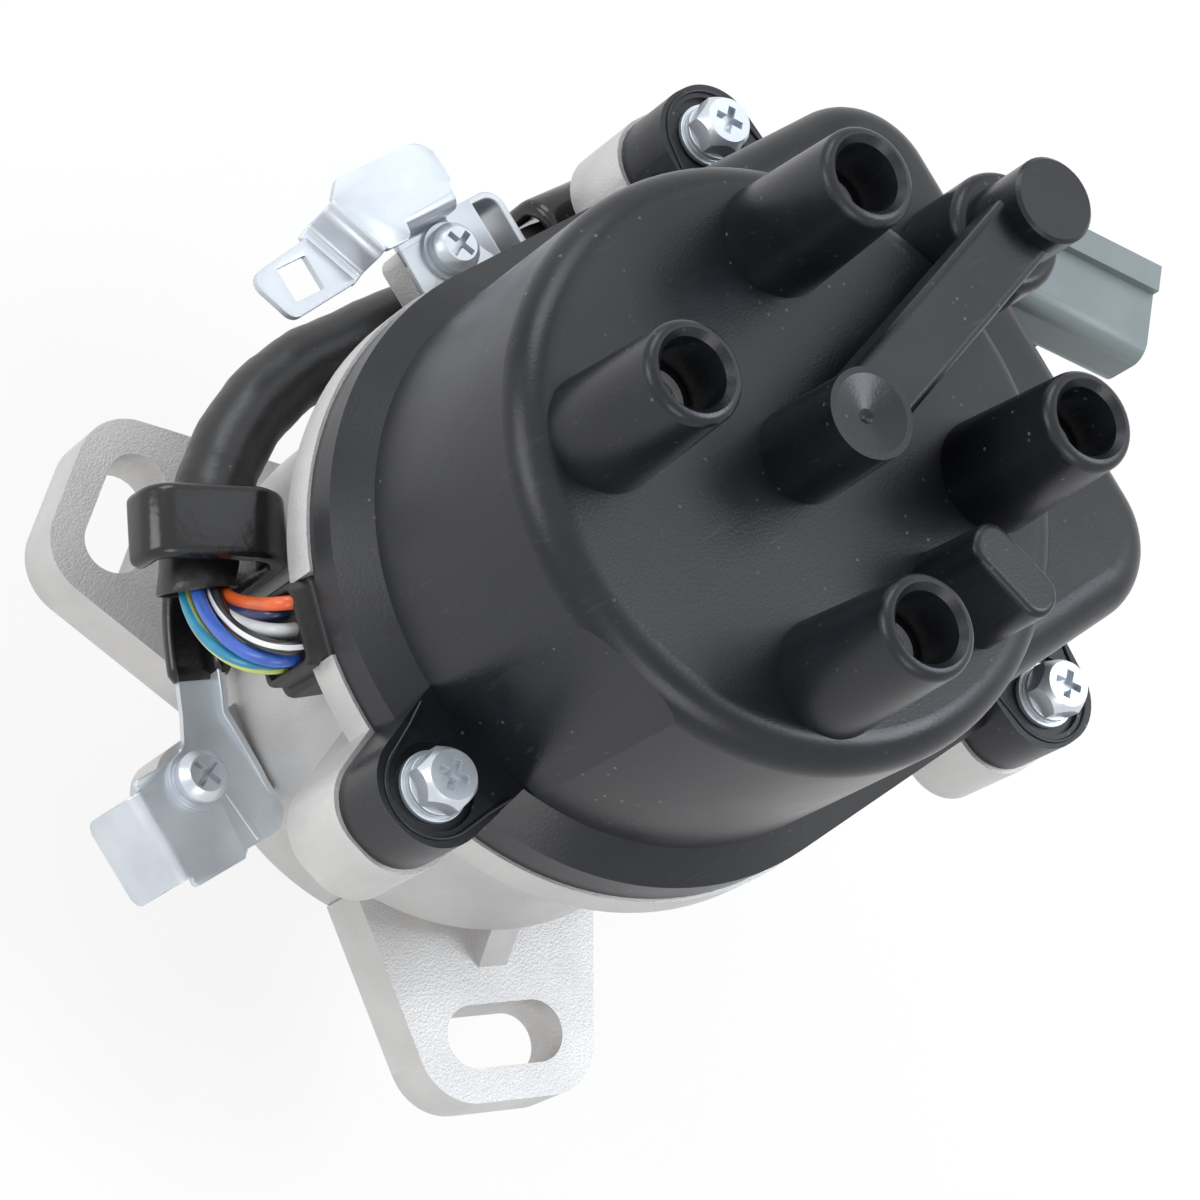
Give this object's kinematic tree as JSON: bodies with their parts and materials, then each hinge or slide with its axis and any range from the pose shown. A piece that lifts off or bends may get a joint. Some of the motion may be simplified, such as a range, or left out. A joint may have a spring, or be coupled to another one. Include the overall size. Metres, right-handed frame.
{
  "type": "ignition distributor",
  "caption": "Ignition distributor with a black towered cap, a cast housing with slotted ears, clipped sensor harness, grey connector and a complete rotor train inside.",
  "frame": {"origin": "shaft axis in the plane of the mounting face", "axes": "+Z along the shaft towards the cap, +X towards the coil chamber, +Y towards the clipped harness"},
  "size_m": [0.1615, 0.1324, 0.1698],
  "materials": {
    "cast": "satin die casting",
    "cap_black": "satin black moulding",
    "zinc_plate": "bluish zinc plate",
    "steel": "machined steel",
    "bronze": "sintered bronze",
    "brass": "bright brass",
    "rubber": "matte black rubber",
    "vinyl": "glossy black vinyl",
    "wire_mix": "bundle of insulated wires",
    "phenolic": "dark brown moulding",
    "epoxy": "black potting resin",
    "sink_aluminium": "plain sheet aluminium",
    "carbon": "pressed carbon",
    "connector_grey": "grey moulding",
    "orange": "soft wire insulation",
    "navy": "soft wire insulation",
    "light_grey": "soft wire insulation",
    "black_white": "black wire insulation with a white stripe",
    "blue": "soft wire insulation",
    "yellow_green": "soft wire insulation",
    "teal": "soft wire insulation",
    "red": "soft wire insulation",
    "white": "soft wire insulation",
    "black": "soft wire insulation"
  },
  "bodies": {
    "body": {"bearing_balls": "steel", "bearing_outer_race": "steel", "bearing_retainer": "steel", "bracket_screws": "zinc_plate", "brush_spring": "steel", "cap_screws": "zinc_plate", "cap_seal": "rubber", "cap_washers": "zinc_plate", "coil_laminations": "steel", "coil_to_brush_lead": "brass", "connector_blades": "brass", "connector_bracket": "zinc_plate", "connector_housing": "connector_grey", "crank_angle_pickup": "phenolic", "cylinder_pickup": "phenolic", "distributor_cap": "cap_black", "dust_shield": "phenolic", "harness_grommet": "rubber", "harness_sleeve": "vinyl", "housing": "cast", "igniter_heat_sink": "sink_aluminium", "igniter_module": "epoxy", "ignition_coil": "epoxy", "inner_screws": "steel", "lead_black": "black", "lead_blue": "blue", "lead_red": "red", "lead_white": "white", "lower_bracket": "zinc_plate", "lower_hook_coating": "vinyl", "oil_seal": "rubber", "pickup_cores": "steel", "pilot_o_ring": "rubber", "plug_terminals": "brass", "shaft_bush": "bronze", "sleeved_wire_bundle": "wire_mix", "top_centre_pickup": "phenolic", "upper_bracket": "zinc_plate", "upper_hook_coating": "vinyl", "wire_black_white": "black_white", "wire_blue": "blue", "wire_grey": "light_grey", "wire_navy": "navy", "wire_orange": "orange", "wire_teal": "teal", "wire_yellow_green": "yellow_green"},
    "rotor_train": {"shaft": "steel", "bearing_inner_race": "steel", "rotor": "phenolic", "rotor_blade": "brass", "rotor_screw": "steel", "crank_angle_reluctor": "steel", "top_centre_reluctor": "steel", "cylinder_reluctor": "steel", "drive_coupling": "steel", "coupling_pin": "steel", "coupling_pin_spring": "steel", "thrust_washer": "steel"},
    "brush": {"carbon_brush": "carbon"}
  },
  "joints": [
    {"name": "shaft_spin", "type": "hinge", "parent": "body", "child": "rotor_train", "pos_m": [0, 0, 0], "axis": [0, 0, 1], "continuous": true},
    {"name": "brush_slide", "type": "slide", "parent": "body", "child": "brush", "axis": [0, 0, 1], "range_m": [0, 0.0015], "stiffness_N_per_m": 150, "springref_m": -0.002, "deforming": ["brush_spring"]}
  ]
}
